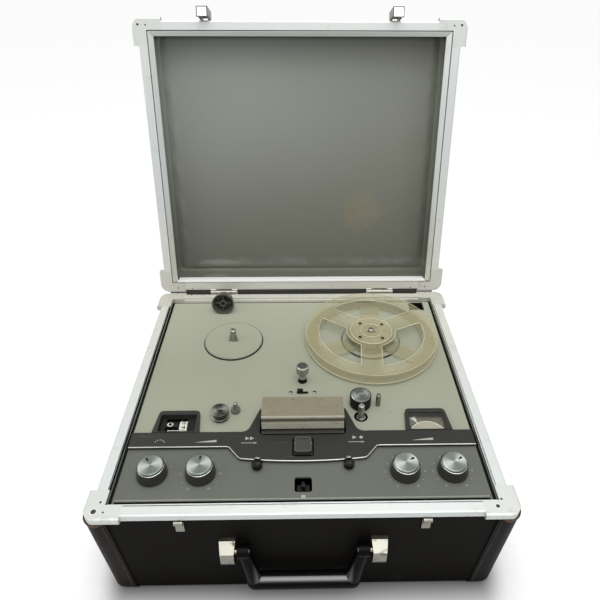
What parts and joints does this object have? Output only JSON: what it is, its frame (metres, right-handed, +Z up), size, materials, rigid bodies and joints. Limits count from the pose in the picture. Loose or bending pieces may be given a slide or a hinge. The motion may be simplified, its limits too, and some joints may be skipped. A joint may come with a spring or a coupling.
{
  "type": "reel-to-reel tape recorder",
  "caption": "Portable reel-to-reel tape recorder in a leathercloth carrying case with an open hinged lid, metal corners, a tape deck with one reel, knobs, levers, meter and counter.",
  "frame": {"origin": "middle of the underside of the case's base board", "axes": "+X to the operator's right, +Y towards the hinges at the back, +Z up"},
  "size_m": [0.426, 0.5078, 0.5195],
  "materials": {
    "case_cover": "grained leathercloth, semi-matt",
    "corner_leather": "worn smooth leather",
    "rail_metal": "brushed, scuffed",
    "fittings": "nickel plate, worn",
    "timber": "softwood stained black",
    "deck_paint": "satin grey-olive enamel",
    "panel_paint": "satin grey enamel",
    "plate_plastic": "charcoal moulding",
    "cover_paint": "tan enamel, scuffed",
    "machine_steel": "turned steel",
    "bare_alloy": "turned bright",
    "black_plastic": "polished black moulding",
    "knob_plastic": "grey-olive moulding with a spun metal cap",
    "dark_plastic": "black moulding",
    "white_plastic": "white moulding",
    "reel_plastic": "yellowed clear moulding",
    "lining_vinyl": "grey vinyl sheet",
    "roller_rubber": "black rubber",
    "dial_card": "grey-olive printed card",
    "window_glass": "clear sheet",
    "motor_paint": "grey hammer enamel",
    "pulley_brass": "turned brass"
  },
  "bodies": {
    "case": {"case_walls": "case_cover", "case_floor": "case_cover", "corner_wraps": "corner_leather", "base_rails": "rail_metal", "base_corners": "rail_metal", "strike_hooks": "fittings", "handle_brackets": "fittings", "hinge_base": "fittings", "deck_bearers": "timber", "deck_plate": "deck_paint", "control_panel": "panel_paint", "escutcheon": "plate_plastic", "window_bezels": "plate_plastic", "counter_frame": "dark_plastic", "meter_body": "dial_card", "meter_glass": "window_glass", "tape_heads": "machine_steel", "head_cover": "cover_paint", "guide_posts": "fittings", "bearings": "machine_steel", "mains_inlet": "dark_plastic", "panel_controls": "machine_steel", "motor": "motor_paint", "drive_belt": "roller_rubber", "amplifier": "machine_steel", "loudspeaker": "dark_plastic", "spare_knob": "black_plastic"},
    "lid": {"lid_shell": "case_cover", "lid_rails": "rail_metal", "lid_corners": "rail_metal", "lid_lining": "lining_vinyl", "lid_fittings": "fittings"},
    "left_latch": {"latch_left": "fittings"},
    "right_latch": {"latch_right": "fittings"},
    "carrying_handle": {"handle": "black_plastic"},
    "left_turntable": {"turntable_left": "deck_paint", "spindle_left": "machine_steel"},
    "right_turntable": {"turntable_right": "deck_paint", "spindle_right": "machine_steel", "reel_lower": "reel_plastic", "reel_upper": "reel_plastic"},
    "tens_drum": {"drum_tens": "dark_plastic"},
    "units_drum": {"drum_units": "white_plastic"},
    "needle": {"meter_needle": "white_plastic"},
    "pinch_arm": {"pinch_arm_lever": "machine_steel"},
    "pinch_roller": {"pinch_hub": "bare_alloy", "pinch_tyre": "roller_rubber"},
    "capstan_shaft": {"capstan": "machine_steel"},
    "motor_rotor": {"motor_pulley": "pulley_brass"},
    "tape_roller": {"guide_roller": "bare_alloy"},
    "speed_control": {"speed_knob": "bare_alloy"},
    "slide_switch": {"switch_tab": "dark_plastic"},
    "selector": {"selector_knob": "knob_plastic"},
    "listening": {"listening_knob": "knob_plastic"},
    "record_inner": {"record_knob_inner": "knob_plastic"},
    "record_outer": {"record_knob_outer": "knob_plastic"},
    "fast": {"fast_lever": "black_plastic"},
    "play": {"play_lever": "black_plastic"},
    "record_key": {"record_button": "plate_plastic"},
    "stop": {"stop_key": "dark_plastic"}
  },
  "joints": [
    {"name": "lid_hinge", "type": "hinge", "parent": "case", "child": "lid", "pos_m": [0, 0.1905, 0.13], "axis": [1, 0, 0], "range_deg": [0, 99.5]},
    {"name": "left_latch_pivot", "type": "hinge", "parent": "lid", "child": "left_latch", "pos_m": [-0.121, 0.26612, 0.50314], "axis": [1, 0, 0], "range_deg": [-50, 10]},
    {"name": "right_latch_pivot", "type": "hinge", "parent": "lid", "child": "right_latch", "pos_m": [0.121, 0.26612, 0.50314], "axis": [1, 0, 0], "range_deg": [-50, 10]},
    {"name": "handle_pivot", "type": "hinge", "parent": "case", "child": "carrying_handle", "pos_m": [0, -0.192, 0.08], "axis": [-1, 0, 0], "range_deg": [0, 110]},
    {"name": "left_turntable_spin", "type": "hinge", "parent": "case", "child": "left_turntable", "pos_m": [-0.0935, 0.0832, 0.1225], "axis": [0, 0, 1], "continuous": true},
    {"name": "right_turntable_spin", "type": "hinge", "parent": "case", "child": "right_turntable", "pos_m": [0.0935, 0.0832, 0.1225], "axis": [0, 0, 1], "continuous": true},
    {"name": "tens_drum_spin", "type": "hinge", "parent": "case", "child": "tens_drum", "pos_m": [-0.14875, -0.0665, 0.1145], "axis": [1, 0, 0], "continuous": true},
    {"name": "units_drum_spin", "type": "hinge", "parent": "case", "child": "units_drum", "pos_m": [-0.136, -0.0665, 0.1145], "axis": [1, 0, 0], "continuous": true},
    {"name": "needle_swing", "type": "hinge", "parent": "case", "child": "needle", "pos_m": [0.1425, -0.083, 0.117], "axis": [0, 0, -1], "range_deg": [0, 50]},
    {"name": "pinch_arm_pivot", "type": "hinge", "parent": "case", "child": "pinch_arm", "pos_m": [0.1037, -0.036, 0.118], "axis": [0, 0, 1], "range_deg": [0, 5.6]},
    {"name": "pinch_roller_spin", "type": "hinge", "parent": "pinch_arm", "child": "pinch_roller", "pos_m": [0.0685, -0.036, 0.13], "axis": [0, 0, 1], "continuous": true},
    {"name": "capstan_spin", "type": "hinge", "parent": "case", "child": "capstan_shaft", "pos_m": [0.0677, -0.0558, 0.106], "axis": [0, 0, 1], "continuous": true},
    {"name": "motor_spin", "type": "hinge", "parent": "case", "child": "motor_rotor", "pos_m": [0.02, 0.06, 0.1], "axis": [0, 0, 1], "continuous": true},
    {"name": "tape_roller_spin", "type": "hinge", "parent": "case", "child": "tape_roller", "pos_m": [-0.0955, -0.054, 0.129], "axis": [0, 0, 1], "continuous": true},
    {"name": "speed_turn", "type": "hinge", "parent": "case", "child": "speed_control", "pos_m": [0, 0.005, 0.13], "axis": [0, 0, 1], "range_deg": [0, 90]},
    {"name": "switch_slide", "type": "slide", "parent": "case", "child": "slide_switch", "axis": [1, 0, 0], "range_m": [0, 0.006]},
    {"name": "selector_turn", "type": "hinge", "parent": "case", "child": "selector", "pos_m": [-0.157, -0.1325, 0.13], "axis": [0, 0, -1], "range_deg": [0, 90]},
    {"name": "listening_turn", "type": "hinge", "parent": "case", "child": "listening", "pos_m": [-0.107, -0.1325, 0.13], "axis": [0, 0, -1], "range_deg": [-150, 150]},
    {"name": "record_inner_turn", "type": "hinge", "parent": "case", "child": "record_inner", "pos_m": [0.107, -0.1325, 0.13], "axis": [0, 0, -1], "range_deg": [-210, 90]},
    {"name": "record_outer_turn", "type": "hinge", "parent": "case", "child": "record_outer", "pos_m": [0.157, -0.1325, 0.13], "axis": [0, 0, -1], "range_deg": [-210, 90]},
    {"name": "fast_slide", "type": "slide", "parent": "case", "child": "fast", "axis": [1, 0, 0], "range_m": [0, 0.012]},
    {"name": "play_slide", "type": "slide", "parent": "case", "child": "play", "axis": [1, 0, 0], "range_m": [0, 0.012]},
    {"name": "record_press", "type": "slide", "parent": "case", "child": "record_key", "axis": [0, 0, -1], "range_m": [0, 0.0025], "stiffness_N_per_m": 200, "springref_m": -0.003},
    {"name": "stop_press", "type": "slide", "parent": "case", "child": "stop", "axis": [0, 0, -1], "range_m": [0, 0.004], "stiffness_N_per_m": 250, "springref_m": -0.003}
  ],
  "couplings": [
    {"joint": "tens_drum_spin", "follows": "right_turntable_spin", "ratio": 0.01},
    {"joint": "units_drum_spin", "follows": "right_turntable_spin", "ratio": 0.1},
    {"joint": "pinch_arm_pivot", "follows": "play_slide", "rad_per_m": 8.14},
    {"joint": "motor_spin", "follows": "capstan_spin", "ratio": 6.4615}
  ]
}
